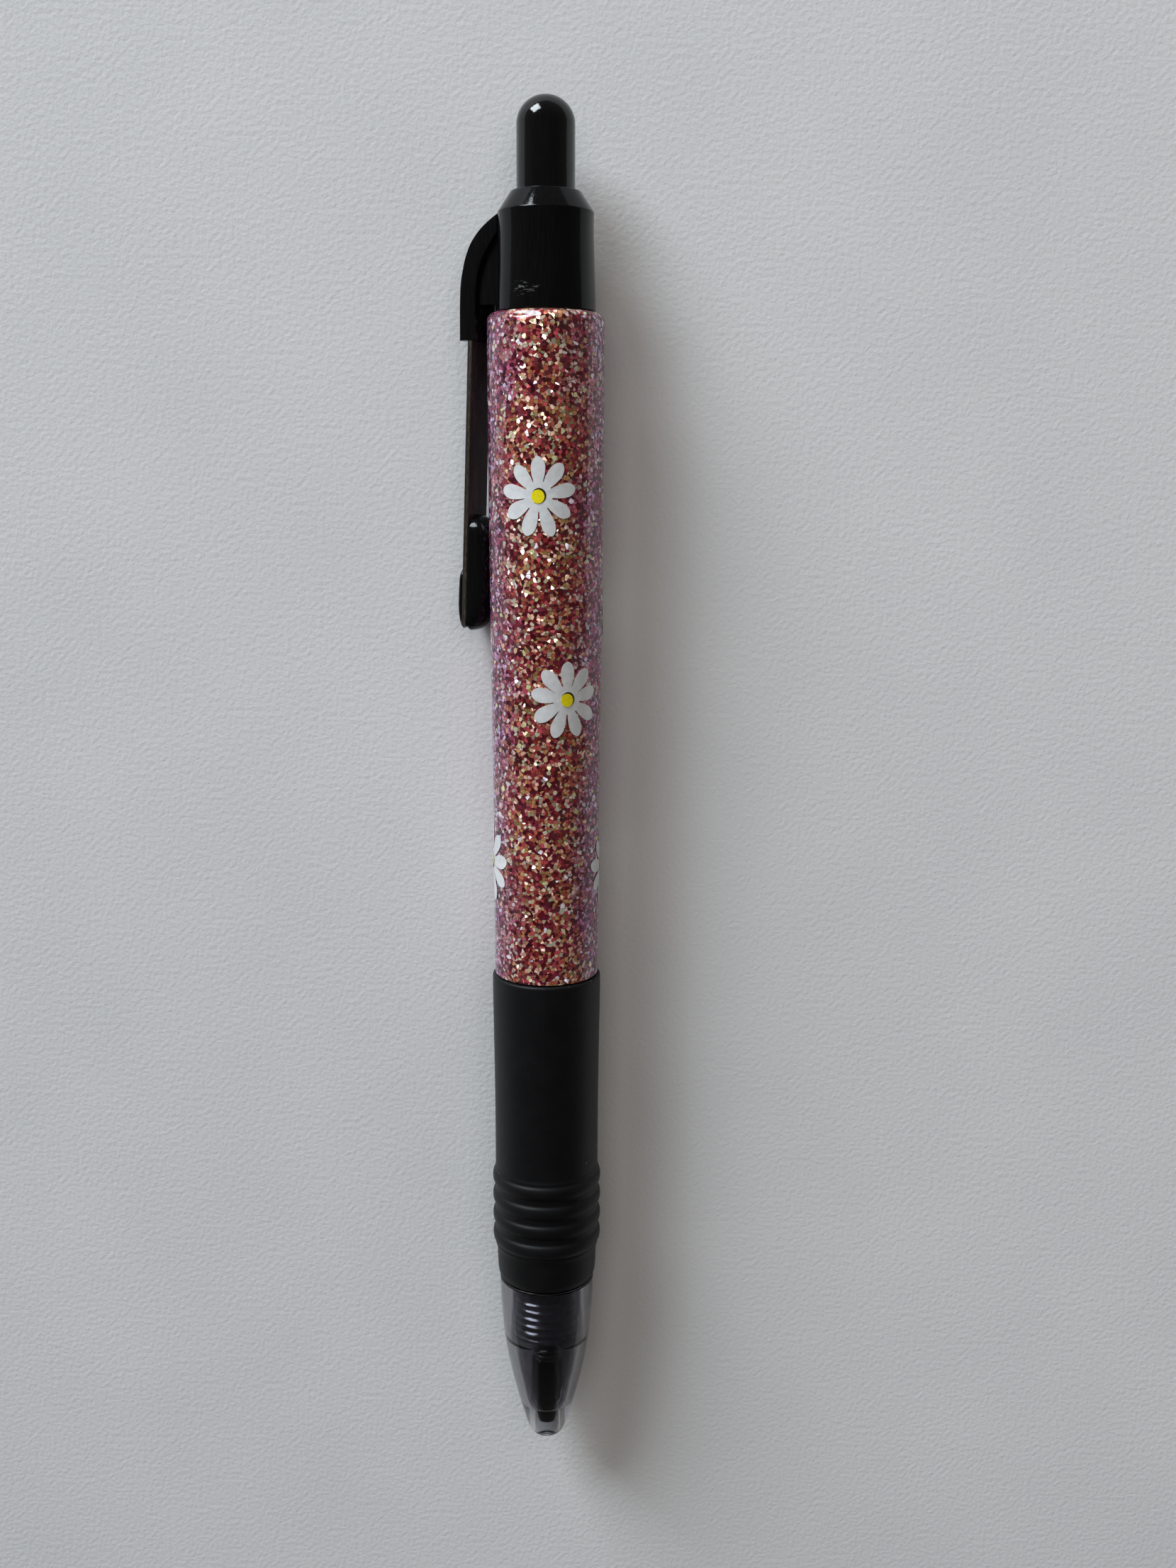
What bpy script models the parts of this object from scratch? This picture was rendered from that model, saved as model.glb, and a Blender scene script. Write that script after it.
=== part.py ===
"""Retractable gel pen, lying on its side.

Every piece is modelled upright in pen space, in millimetres: local Z is the height above the
nose's mouth, and the clip stands on local -X. One empty then lays the pen along world Y, with
its push button towards +Y, its nose towards -Y and the clip low on the -X side.
"""
import math

import bmesh
import bpy
from mathutils import Matrix, Vector

MM = 0.001

# Frame: where the pen's axis lies, and how far the clip dips below level.
LENGTH = 144.0
AXIS_X = 1.76
AXIS_Z = 5.95
CLIP_DIP = math.radians(24.5)

# Facets round a turned piece.
OUTER_STEPS = 32
INNER_STEPS = 20

# Push button and its travel.
BUTTON_R = 2.9
BUTTON_SHOULDER = 141.25
BUTTON_END = 112.9
FLANGE_R = 3.3

# Clip cap.
CAP_TOP = 135.0
CAP_BOTTOM = 123.54
COLLAR_BORE_R = 3.0
CAP_BORE_R = 3.95
ARM_WIDTH = 4.3
WEB_WIDTH = 3.2

# Clip strip and its pad, measured from the strip's root.
ROOT_RADIUS = 7.58
ROOT_HEIGHT = 121.0
STRIP_LEAN = math.radians(2.17)
STRIP_WIDTH = 4.1
STRIP_THICK = 0.5
STRIP_LENGTH = 29.0
OPEN_END = 22.7
TONGUE_WIDTH = 3.0
TONGUE_LENGTH = 1.1
PAD_WIDTH = 4.1

# Click mechanism.
RIB_COUNT = 8
TOOTH_DEPTH = 0.5

# Barrel, sleeves and nose.
BARREL_TOP = 123.42
GRIP_TOP = 54.85
GRIP_BOTTOM = 19.7
NECK_R = 3.6
NECK_END = 12.8
THREAD_R = 3.83
THREAD_TOP = 17.46
THREAD_PITCH = 0.876
THREAD_RINGS = 6
RIDGE_TOP = 31.55
RIDGE_PITCH = 2.26
RIDGE_COUNT = 4
RIDGE_R = 5.95

# Return spring.
SPRING_R = 1.65
WIRE_R = 0.2
SPRING_FOOT = 9.77
SPRING_HEAD = 29.2
CLOSED_TURNS = 1.5
OPEN_TURNS = 7.0
CLOSED_PITCH = 0.46

# Daisies: height above the nose, and angle from straight up towards +X, in degrees.
DAISIES = [(105.5, -6.0), (85.2, 23.0), (67.3, -84.0), (66.7, 96.0), (93.5, 118.0)]
PETALS = 9
PETAL_OUTER = 4.0
PETAL_NOTCH = 2.2
PETAL_HOLE = 0.85
DISC_R = 0.72
PETAL_LIFT = 0.09
PETAL_THICK = 0.12

RESIN_PROFILE = [(5.35, 123.42), (5.75, 123.2), (5.9, 122.75), (5.92, 120.8), (5.9, 113.0),
                 (5.86, 105.0), (5.79, 91.0), (5.66, 80.0), (5.59, 72.0), (5.55, 60.0),
                 (5.53, 55.3), (5.3, 55.02)]
NOSE_PROFILE = [(5.2, 19.55), (5.15, 16.9), (5.07, 15.8), (4.97, 14.4), (4.85, 13.0),
                (4.64, 11.6), (4.43, 10.2), (4.18, 8.8), (3.88, 7.4), (3.52, 5.9), (3.16, 4.5),
                (2.76, 3.05), (2.33, 1.6), (2.07, 0.88), (1.72, 0.22), (1.4, 0.0)]

MATERIALS = {
    "black_gloss": ((0.012, 0.012, 0.014), 0.18, 0.0),
    "black_satin": ((0.018, 0.018, 0.02), 0.4, 0.0),
    "white_plastic": ((0.75, 0.75, 0.73), 0.4, 0.0),
    "clear_plastic": ((0.6, 0.62, 0.62), 0.2, 0.0),
    "glitter_resin": ((0.22, 0.04, 0.09), 0.12, 0.3),
    "daisy_white": ((0.82, 0.8, 0.78), 0.3, 0.0),
    "daisy_yellow": ((0.85, 0.55, 0.04), 0.3, 0.0),
    "grip_rubber": ((0.016, 0.016, 0.017), 0.75, 0.0),
    "smoke_plastic": ((0.05, 0.05, 0.055), 0.08, 0.0),
    "strip_metal": ((0.03, 0.027, 0.025), 0.35, 0.6),
    "spring_steel": ((0.55, 0.55, 0.56), 0.25, 1.0),
    "nickel_silver": ((0.6, 0.57, 0.5), 0.25, 1.0),
    "ball_carbide": ((0.4, 0.4, 0.41), 0.15, 1.0),
    "ink": ((0.01, 0.01, 0.012), 0.3, 0.0),
    "seal_wax": ((0.012, 0.011, 0.01), 0.35, 0.0),
    "grease": ((0.55, 0.52, 0.42), 0.15, 0.0),
}


def remove_startup_objects():
    for obj in list(bpy.data.objects):
        bpy.data.objects.remove(obj, do_unlink=True)


def new_collection(name):
    group = bpy.data.collections.new(name)
    bpy.context.scene.collection.children.link(group)
    return group


def make_materials():
    made = {}
    for name, (colour, roughness, metallic) in MATERIALS.items():
        material = bpy.data.materials.new(name)
        material.use_nodes = True
        shader = material.node_tree.nodes["Principled BSDF"]
        shader.inputs["Base Color"].default_value = (*colour, 1.0)
        shader.inputs["Roughness"].default_value = roughness
        shader.inputs["Metallic"].default_value = metallic
        made[name] = material
    return made


def new_empty(name, location, rotation, parent=None):
    empty = bpy.data.objects.new(name, None)
    parts.objects.link(empty)
    empty.parent = parent
    empty.location = [value * MM for value in location]
    empty.rotation_euler = rotation
    empty.empty_display_size = 0.005
    return empty


def add_object(name, data, material=None, parent=None):
    obj = bpy.data.objects.new(name, data)
    parts.objects.link(obj)
    obj.parent = parent
    if material:
        data.materials.append(materials[material])
    return obj


def as_cutter(obj):
    """Put a helper solid among the cutters, out of the renders."""
    parts.objects.unlink(obj)
    cutters.objects.link(obj)
    obj.hide_render = True
    obj.display_type = "WIRE"
    return obj


def bake(obj):
    """Apply an object's modifiers and shade it smooth between sharp edges."""
    bpy.context.view_layer.update()
    graph = bpy.context.evaluated_depsgraph_get()
    mesh = bpy.data.meshes.new_from_object(obj.evaluated_get(graph))
    obj.modifiers.clear()
    obj.data = mesh
    mesh.shade_smooth()
    mesh.set_sharp_from_angle(angle=math.radians(30))
    return obj


def turned(name, profile, material=None, parent=None, steps=INNER_STEPS, ring=False):
    """Spin a profile of (radius, height) points about the pen's axis, listed top to bottom."""
    points = [Vector((radius * MM, 0, height * MM)) for radius, height in profile]
    edges = [(i, i + 1) for i in range(len(points) - 1)]
    if ring:
        edges.append((len(points) - 1, 0))
    mesh = bpy.data.meshes.new(name)
    mesh.from_pydata(points, edges, [])
    obj = add_object(name, mesh, material, parent)
    screw = obj.modifiers.new("Turn", "SCREW")
    screw.steps = steps
    screw.render_steps = steps
    screw.use_merge_vertices = True
    screw.merge_threshold = 0.00001
    return bake(obj)


def boolean(obj, other, operation):
    """Join or cut with another solid, which then stays among the cutters."""
    as_cutter(other)
    step = obj.modifiers.new(other.name, "BOOLEAN")
    step.operation = operation
    step.object = other
    return bake(obj)


def spokes(name, count, inner, outer, width, bottom, top, parent, roll=0.0):
    """Boxes set round the axis like spokes, each one rolled about its own radius."""
    mesh = bpy.data.meshes.new(name)
    shape = bmesh.new()
    size = Matrix.Diagonal(((outer - inner) * MM, width * MM, (top - bottom) * MM, 1))
    shift = Matrix.Translation(((inner + outer) / 2 * MM, 0, (bottom + top) / 2 * MM))
    for i in range(count):
        spin = Matrix.Rotation(2 * math.pi * i / count, 4, "Z")
        turn = Matrix.Rotation(roll, 4, "X")
        bmesh.ops.create_cube(shape, size=1.0, matrix=spin @ shift @ turn @ size)
    shape.to_mesh(mesh)
    shape.free()
    return add_object(name, mesh, parent=parent)


def plate(name, outline, half, material=None, parent=None, edge=0.0):
    """Extrude a closed flat outline, then weld its caps into one solid."""
    curve = bpy.data.curves.new(name, "CURVE")
    curve.dimensions = "2D"
    curve.fill_mode = "BOTH"
    curve.extrude = (half - edge) * MM
    curve.bevel_depth = edge * MM
    curve.bevel_resolution = 0
    curve.offset = -edge * MM
    spline = curve.splines.new("POLY")
    spline.points.add(len(outline) - 1)
    for point, (x, y) in zip(spline.points, outline):
        point.co = (x * MM, y * MM, 0, 1)
    spline.use_cyclic_u = True
    return curve_to_mesh(name, curve, material, parent)


def curve_to_mesh(name, curve, material, parent):
    draft = bpy.data.objects.new(name + "_curve", curve)
    parts.objects.link(draft)
    bpy.context.view_layer.update()
    graph = bpy.context.evaluated_depsgraph_get()
    mesh = bpy.data.meshes.new_from_object(draft.evaluated_get(graph))
    bpy.data.objects.remove(draft, do_unlink=True)
    shape = bmesh.new()
    shape.from_mesh(mesh)
    bmesh.ops.remove_doubles(shape, verts=shape.verts, dist=0.000002)
    bmesh.ops.recalc_face_normals(shape, faces=shape.faces)
    shape.to_mesh(mesh)
    shape.free()
    mesh.materials.clear()
    obj = add_object(name, mesh, material, parent)
    mesh.shade_smooth()
    mesh.set_sharp_from_angle(angle=math.radians(30))
    return obj


def upright(obj):
    """Stand a flat outline up, so that its Y runs along the pen and its thickness across."""
    obj.rotation_euler = (math.pi / 2, 0, 0)
    return obj


def resin_radius(height):
    """The sleeve's outer radius at a height, read off its own profile."""
    for (low_r, low), (high_r, high) in zip(RESIN_PROFILE[1:], RESIN_PROFILE):
        if low <= height <= high:
            return low_r + (high_r - low_r) * (height - low) / (high - low)
    return RESIN_PROFILE[0][0]


def make_button(pen):
    dome = [(BUTTON_R * math.sin(a), BUTTON_SHOULDER + (LENGTH - BUTTON_SHOULDER) * math.cos(a))
            for a in (math.radians(18 * i) for i in range(6))]
    profile = dome + [(BUTTON_R, 132.25), (FLANGE_R, 132.25), (FLANGE_R, 130.4),
                      (BUTTON_R, 130.2), (BUTTON_R, BUTTON_END), (1.75, BUTTON_END),
                      (1.75, 118.5), (0, 118.5)]
    profile[0] = (0, LENGTH)
    button = turned("plunger", profile, "black_gloss", pen)
    half = TOOTH_DEPTH * math.sqrt(2)
    notches = spokes("plunger_notches", RIB_COUNT, 1.5, 3.3, half, BUTTON_END - half / 2,
                     BUTTON_END + half / 2, pen, roll=math.pi / 4)
    boolean(button, notches, "DIFFERENCE")


def make_clip_cap(pen, side):
    body = [(0, CAP_TOP), (3.35, CAP_TOP), (3.53, 134.85), (4.78, 132.95), (4.76, 131.6),
            (4.82, 129.0), (4.92, 126.3), (5.0, CAP_BOTTOM), (0, CAP_BOTTOM)]
    cap = turned("clip_cap", body, "black_gloss", side, steps=OUTER_STEPS)
    outer = [(3.7, 133.15), (4.5, 132.85), (5.49, 132.24), (6.25, 131.65), (6.78, 131.1),
             (7.35, 130.35), (7.76, 129.55), (8.08, 128.7), (8.30, 127.75), (8.5, 126.9),
             (8.61, 125.9), (8.71, 121.05)]
    inner = [(6.9, 121.05), (6.86, 124.95), (6.72, 126.7), (6.47, 127.7), (6.16, 128.5),
             (5.75, 129.3), (5.27, 129.95), (4.6, 130.85), (3.7, 131.6)]
    arm = plate("clip_arm", [(-r, h) for r, h in outer + inner], ARM_WIDTH / 2, parent=side)
    boolean(cap, upright(arm), "UNION")
    gusset = [(4.3, 124.3), (7.2, 124.3), (7.1, 126.5), (6.6, 128.3), (5.9, 129.7), (5.0, 130.9),
              (4.3, 131.5)]
    web = plate("clip_web", [(-r, h) for r, h in gusset], WEB_WIDTH / 2, parent=side)
    boolean(cap, upright(web), "UNION")
    bore = [(0, 136.5), (COLLAR_BORE_R, 136.5), (COLLAR_BORE_R, 132.6), (CAP_BORE_R, 132.6),
            (CAP_BORE_R, 122.5), (0, 122.5)]
    boolean(cap, turned("cap_bore", bore, parent=side, steps=OUTER_STEPS), "DIFFERENCE")
    slot = spokes("strip_pocket", 1, -0.42, 0.42, TONGUE_WIDTH + 0.4, -0.5, 1.6, side)
    slot.location = (-ROOT_RADIUS * MM, 0, ROOT_HEIGHT * MM)
    boolean(cap, slot, "DIFFERENCE")


def make_clip_strip(root):
    """The ends inside the arm and the pad are a little thinner than the open length."""
    half = STRIP_WIDTH / 2
    thin = STRIP_THICK / 2 - 0.03
    strip = plate("clip_strip", box_outline(half, -OPEN_END, -0.15), STRIP_THICK / 2,
                  "strip_metal", root)
    tail = plate("strip_tail", box_outline(half, -STRIP_LENGTH, 0.2 - OPEN_END), thin,
                 parent=root)
    tongue = plate("strip_tongue", box_outline(TONGUE_WIDTH / 2, -0.4, TONGUE_LENGTH), thin,
                   parent=root)
    for part in (strip, tail, tongue):
        part.rotation_euler = (math.pi / 2, 0, math.pi / 2)
    boolean(strip, tail, "UNION")
    boolean(strip, tongue, "UNION")


def box_outline(half, bottom, top):
    return [(-half, bottom), (half, bottom), (half, top), (-half, top)]


def make_clip_pad(root):
    slot = STRIP_THICK / 2 + 0.08
    shape = [(slot, -18.0), (0.9, -17.8), (1.6, -18.3), (2.1, -19.5), (2.35, -21.5),
             (2.4, -24.0), (2.25, -26.5), (1.9, -28.2), (1.3, -29.4), (0.5, -29.95),
             (-0.3, -29.6), (-0.75, -28.5), (-0.95, -26.8), (-0.9, -24.8), (-0.65, -23.3),
             (-slot, -23.0), (-slot, -29.1), (slot, -29.1)]
    upright(plate("clip_pad", shape, PAD_WIDTH / 2, "black_satin", root))


def make_cam_guide(pen):
    profile = [(3.85, 132.3), (3.85, 108.0), (3.45, 108.0), (3.45, 113.2), (3.1, 113.6),
               (3.1, 118.0), (3.45, 118.0), (3.45, 132.3)]
    guide = turned("cam_guide", profile, "white_plastic", pen, ring=True)
    slots = spokes("guide_slots", RIB_COUNT, 2.6, 3.52, 1.1, 112.8, 118.3, pen)
    boolean(guide, slots, "DIFFERENCE")


def make_rotor(pen):
    profile = [(0, 116.0), (1.3, 116.0), (1.5, 115.8), (1.5, 112.7), (2.6, 112.7), (2.6, 105.3),
               (1.6, 105.3), (1.6, 109.0), (0, 109.0)]
    rotor = turned("rotor_cam", profile, "white_plastic", pen)
    fins = spokes("rotor_fins", RIB_COUNT, 2.3, 3.3, 0.7, 108.5, 112.0, pen)
    boolean(rotor, fins, "UNION")
    half = TOOTH_DEPTH * math.sqrt(2)
    notches = spokes("rotor_notches", RIB_COUNT, 1.35, 3.0, half, 112.7 - half / 2,
                     112.7 + half / 2, pen, roll=math.pi / 4)
    boolean(rotor, notches, "DIFFERENCE")


def make_refill(pen):
    tube = [(3.0, 103.9), (3.0, 33.2), (2.4, 33.2), (2.4, 103.9)]
    turned("refill_tube", tube, "clear_plastic", pen, ring=True)
    turned("refill_ink", [(0, 88.0), (2.25, 88.0), (2.25, 37.4), (0, 37.4)], "ink", pen)
    turned("refill_follower", [(0, 92.0), (2.25, 92.0), (2.25, 88.2), (0, 88.2)], "grease", pen)
    plug = [(1.4, 108.0), (1.4, 105.1), (2.95, 105.1), (2.95, 104.1), (2.3, 104.1), (2.3, 99.0),
            (0.4, 99.0), (0.4, 108.0)]
    turned("refill_tail_plug", plug, "white_plastic", pen, ring=True)
    adaptor = [(2.3, 37.0), (2.3, 33.0), (2.95, 33.0), (2.95, 29.5), (1.32, 29.5), (1.32, 15.4),
               (1.25, 15.2), (1.16, 15.2), (1.16, 20.2), (0.6, 20.2), (0.6, 37.0)]
    turned("refill_adaptor", adaptor, "clear_plastic", pen, ring=True)
    point = [(1.05, 20.0), (1.05, 4.7), (0.55, 2.5), (0.5, 2.3), (0.36, 2.3), (0.36, 3.0),
             (0.2, 3.2), (0.2, 20.0)]
    turned("refill_point", point, "nickel_silver", pen, ring=True)
    arc = [math.radians(22.5 * i) for i in range(9)]
    ball = [(0.3 * math.sin(a), 2.45 + 0.3 * math.cos(a)) for a in arc]
    ball[0] = (0, 2.75)
    ball[-1] = (0, 2.15)
    turned("writing_ball", ball, "ball_carbide", pen, steps=12)
    bead = [(0, 2.03), (0.6, 2.08), (0.66, 2.5), (1.02, 4.5), (1.06, 4.5), (1.04, 3.3),
            (0.88, 2.2), (0.66, 1.9), (0, 1.85)]
    turned("tip_seal", bead, "seal_wax", pen)


def make_spring(pen):
    """A coil with closed ends, its wire a bevelled curve."""
    per_turn = 12
    turns = OPEN_TURNS + 2 * CLOSED_TURNS
    closed = CLOSED_TURNS * CLOSED_PITCH
    open_pitch = (SPRING_HEAD - SPRING_FOOT - 2 * closed) / OPEN_TURNS
    curve = bpy.data.curves.new("return_spring", "CURVE")
    curve.dimensions = "3D"
    curve.bevel_depth = WIRE_R * MM
    curve.bevel_resolution = 1
    curve.use_fill_caps = True
    spline = curve.splines.new("POLY")
    count = int(turns * per_turn) + 1
    spline.points.add(count - 1)
    for i, point in enumerate(spline.points):
        turn = i / per_turn
        low = min(turn, CLOSED_TURNS)
        middle = min(max(turn - CLOSED_TURNS, 0), OPEN_TURNS)
        high = max(turn - CLOSED_TURNS - OPEN_TURNS, 0)
        rise = (low + high) * CLOSED_PITCH + middle * open_pitch
        angle = 2 * math.pi * turn
        point.co = (SPRING_R * MM * math.cos(angle), SPRING_R * MM * math.sin(angle),
                    (SPRING_FOOT + rise) * MM, 1)
    curve_to_mesh("return_spring", curve, "spring_steel", pen)


def make_barrel(pen):
    profile = [(4.6, BARREL_TOP), (4.6, 54.9), (4.3, 54.9), (4.3, GRIP_BOTTOM),
               (NECK_R, GRIP_BOTTOM)]
    for i in range(THREAD_RINGS):
        crest = THREAD_TOP - i * THREAD_PITCH
        profile += [(NECK_R, crest + 0.24), (THREAD_R, crest), (NECK_R, crest - 0.24)]
    profile += [(3.5, NECK_END), (2.22, NECK_END), (2.22, 23.6), (3.3, 24.0), (3.3, 100.0),
                (3.95, 100.6), (3.95, BARREL_TOP)]
    turned("barrel_tube", profile, "black_satin", pen, ring=True)


def make_resin_sleeve(pen):
    profile = RESIN_PROFILE + [(4.72, 55.02), (4.72, BARREL_TOP)]
    turned("resin_sleeve", profile, "glitter_resin", pen, steps=OUTER_STEPS, ring=True)


def make_grip(pen):
    profile = [(5.5, GRIP_TOP), (5.74, 54.65), (5.8, 54.2), (5.8, 52.5), (5.74, 48.5),
               (5.69, 44.4), (5.65, 40.3), (5.63, 33.6)]
    for i in range(RIDGE_COUNT):
        crest = RIDGE_TOP - i * RIDGE_PITCH
        profile += [(RIDGE_R - 0.21, crest + RIDGE_PITCH / 2), (RIDGE_R, crest + 0.35),
                    (RIDGE_R, crest - 0.35)]
    profile += [(5.62, 23.3), (5.53, 22.6), (5.48, 21.3), (5.38, 20.4), (5.15, 19.85),
                (5.0, GRIP_BOTTOM), (4.4, GRIP_BOTTOM), (4.4, GRIP_TOP)]
    turned("grip_sleeve", profile, "grip_rubber", pen, steps=OUTER_STEPS, ring=True)


def make_nose_cone(pen):
    inside = [(1.2, 0.0), (1.2, 9.5), (1.72, 9.5), (1.75, 6.0), (1.82, 4.6), (1.92, 3.9),
              (2.08, 3.9), (2.28, 4.7), (2.65, 6.3), (3.1, 8.2), (3.5, 10.3), (3.82, 12.2),
              (3.97, 12.5), (3.97, 19.55)]
    turned("nose_cone", NOSE_PROFILE + inside, "smoke_plastic", pen, steps=OUTER_STEPS,
           ring=True)


def petal_reach(angle):
    """Outline of the petals: how far the flower reaches from its centre at an angle."""
    wave = abs(math.cos(PETALS * angle / 2))
    return PETAL_NOTCH + (PETAL_OUTER - PETAL_NOTCH) * wave ** 0.6


def make_daisy(number, height, degrees, pen):
    """Nine petals as a thin shell wrapped on the sleeve, with a disc in the middle."""
    spokes_round = PETALS * 4
    radius = resin_radius(height) + PETAL_LIFT
    mesh = bpy.data.meshes.new("petals")
    shape = bmesh.new()
    rows = []
    for share in (0.0, 0.45, 1.0):
        row = []
        for i in range(spokes_round):
            angle = 2 * math.pi * i / spokes_round
            reach = PETAL_HOLE + (petal_reach(angle) - PETAL_HOLE) * share
            across = reach * math.sin(angle) / radius
            along = reach * math.cos(angle)
            row.append(shape.verts.new((radius * MM * math.sin(across), along * MM,
                                        radius * MM * math.cos(across))))
        rows.append(row)
    for near, far in zip(rows, rows[1:]):
        for i in range(spokes_round):
            j = (i + 1) % spokes_round
            shape.faces.new((near[i], near[j], far[j], far[i]))
    bmesh.ops.recalc_face_normals(shape, faces=shape.faces)
    if shape.faces[:][0].normal.z < 0:
        bmesh.ops.reverse_faces(shape, faces=shape.faces)
    shape.to_mesh(mesh)
    shape.free()
    seat = new_empty(f"daisy_{number}_seat", (0, 0, height),
                     (-math.pi / 2, 0, 0), pen)
    seat.rotation_euler = (Matrix.Rotation(math.radians(degrees), 3, "Z")
                           @ Matrix.Rotation(math.pi / 2, 3, "X")).to_euler()
    petals = add_object(f"daisy_{number}_petals", mesh, "daisy_white", seat)
    shell = petals.modifiers.new("Thickness", "SOLIDIFY")
    shell.thickness = PETAL_THICK * MM
    shell.offset = 1.0
    bake(petals)
    disc_mesh = bpy.data.meshes.new("disc")
    disc_shape = bmesh.new()
    bmesh.ops.create_cone(disc_shape, cap_ends=True, segments=12, radius1=DISC_R * MM,
                          radius2=DISC_R * 0.85 * MM, depth=PETAL_THICK * MM)
    disc_shape.to_mesh(disc_mesh)
    disc_shape.free()
    disc = add_object(f"daisy_{number}_centre", disc_mesh, "daisy_yellow", seat)
    disc.location = (0, 0, (radius + PETAL_THICK / 2) * MM)


remove_startup_objects()
parts = new_collection("retractable_gel_pen")
cutters = new_collection("cutters")
materials = make_materials()

pen_empty = new_empty("pen_axis", (AXIS_X, -LENGTH / 2, AXIS_Z), (-math.pi / 2, 0, 0))
side_empty = new_empty("clip_side", (0, 0, 0), (0, 0, -CLIP_DIP), pen_empty)
root_empty = new_empty("clip_root", (-ROOT_RADIUS, 0, ROOT_HEIGHT), (0, STRIP_LEAN, 0),
                       side_empty)

make_button(pen_empty)
make_clip_cap(pen_empty, side_empty)
make_clip_strip(root_empty)
make_clip_pad(root_empty)
make_cam_guide(pen_empty)
make_rotor(pen_empty)
make_refill(pen_empty)
make_spring(pen_empty)
make_barrel(pen_empty)
make_resin_sleeve(pen_empty)
make_grip(pen_empty)
make_nose_cone(pen_empty)
for index, (daisy_height, daisy_angle) in enumerate(DAISIES):
    make_daisy(index + 1, daisy_height, daisy_angle, pen_empty)
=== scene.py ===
"""Looks of the retractable gel pen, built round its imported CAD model.

Sizes are in millimetres: a height is measured along the pen from the nose's mouth, a radius
from the pen's axis, and an angle from straight up towards +X.
"""
import math
import random

import bmesh
import bpy
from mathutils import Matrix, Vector, noise


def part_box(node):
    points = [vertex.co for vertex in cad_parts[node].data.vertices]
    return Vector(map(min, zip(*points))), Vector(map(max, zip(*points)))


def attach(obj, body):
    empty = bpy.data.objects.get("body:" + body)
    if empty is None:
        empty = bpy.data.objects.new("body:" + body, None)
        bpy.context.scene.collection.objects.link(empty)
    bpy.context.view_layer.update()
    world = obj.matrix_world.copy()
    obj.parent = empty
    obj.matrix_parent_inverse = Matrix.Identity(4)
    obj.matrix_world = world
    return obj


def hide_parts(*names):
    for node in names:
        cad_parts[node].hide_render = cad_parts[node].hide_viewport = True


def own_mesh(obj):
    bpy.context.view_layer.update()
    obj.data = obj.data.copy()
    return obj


MM = 0.001

# Camera.
CAMERA_OFFSET = (4.27, 35.11, 163.03)
CAMERA_TILT = math.radians(-10.97)
CAMERA_ROLL = math.radians(0.24)
CAMERA_LENS = 36.03

# Lights: directions run from the pen, distances and sizes are in metres.
WINDOW_FROM = (-0.52, 0.80, 0.36)
WINDOW_METRES = 1.9
WINDOW_SIZE = (0.84, 0.88)
WINDOW_WATTS = 42.5
WINDOW_COLOUR = (0.86, 0.94, 1.0)
CEILING_FROM = (0.05, 0.40, 1.0)
CEILING_METRES = 0.62
CEILING_SIZE = (0.5, 0.5)
CEILING_WATTS = 1.0
CEILING_COLOUR = (1.0, 0.94, 0.88)

# The dim room, low down and overhead, and how far the paper lies under the pen.
ROOM_LOW = (0.13, 0.122, 0.115)
ROOM_HIGH = (0.04, 0.037, 0.036)
FLOOR_DROP = 0.03

# Edges that turn more than this stay crisp.
SHARP_EDGE = math.radians(35)
STRIP_SHARP_EDGE = math.radians(20)

# Black plastic and rubber.
BLACK = (0.004, 0.004, 0.0045)

# Push button.
BUTTON_R = 2.9
DOME_FOOT = 141.25
DOME_RISE = 2.75

# Clip: its angle round the pen below level, the strip on its arm, the arm and its web.
CLIP_DIP = math.radians(24.5)
STRIP_LEAN = math.radians(2.17)
ROOT_RADIUS = 7.58
ROOT_HEIGHT = 121.0
STRIP_HALF_WIDTH = 2.05
STRIP_HALF_THICK = 0.25
STRIP_LENGTH = 29.0
STRIP_CUT = 0.05
STRIP_TAB = 0.72
CUT_SIDES = (3, 4, 6, 7)
ARM_HALF_WIDTH = 2.15
WEB_HALF_WIDTH = 1.6

# Scuffs on the cap lie in a flat patch, faint at its edge.
SCUFF_PLACE = (4.95, 125.4, math.radians(-24))  # radius, height, angle
SCUFF_FLATTEN = (1.0, 2.4, 1.0)
SCUFF_REACH = (0.6, 2.1)
SCUFF_COLOUR = (0.09, 0.093, 0.09)
SCUFF_ROUGHNESS = 0.35

# Neck thread and spring. The barrel turns from black to smoke grey across the neck's edge.
NECK_EDGE = (19.6, 19.9)
NECK_R = 3.6
THREAD_R = 3.82
THREAD_TOP = 17.46
THREAD_END = 13.08
THREAD_PITCH = 0.876
THREAD_FADE = 0.4
THREAD_HALF_TURN = 0.34
THREAD_START = 18.1
THREAD_ROWS = 120
NECK_END = 12.8
SPRING_R = 1.65
WIRE_R = 0.2
SPRING_FOOT = 9.77
SPRING_HEAD = 29.2
CLOSED_TURNS = 1.5
OPEN_TURNS = 7.0
CLOSED_PITCH = 0.46

# Resin sleeve: its round shoulder has one shallow dip.
SLEEVE_TOP = 123.42
SLEEVE_FOOT = 54.96
SLEEVE_R = 5.9
SLEEVE_BORE = 4.72
SHOULDER = 0.85
DIP_ANGLE = math.radians(-22)
DIP_HEIGHT = 122.98
DIP_DEPTH = 0.24
DIP_TURN = 0.3
DIP_REACH = 0.36

# Rubber grip.
GRIP_TOP = 54.85
GRIP_FOOT = 19.7
GRIP_BORE = 4.45
SEAM_FOOT = 33.0
SEAM_RISE = 0.02
SEAM_HALF_WIDTH = 0.16
RIDGES = 4
RIDGE_TOP = 31.55
RIDGE_PITCH = 2.26
RIDGE_ROOT = 5.68
RIDGE_RISE = 0.27
RIDGE_HALF_WIDTH = 0.70

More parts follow.
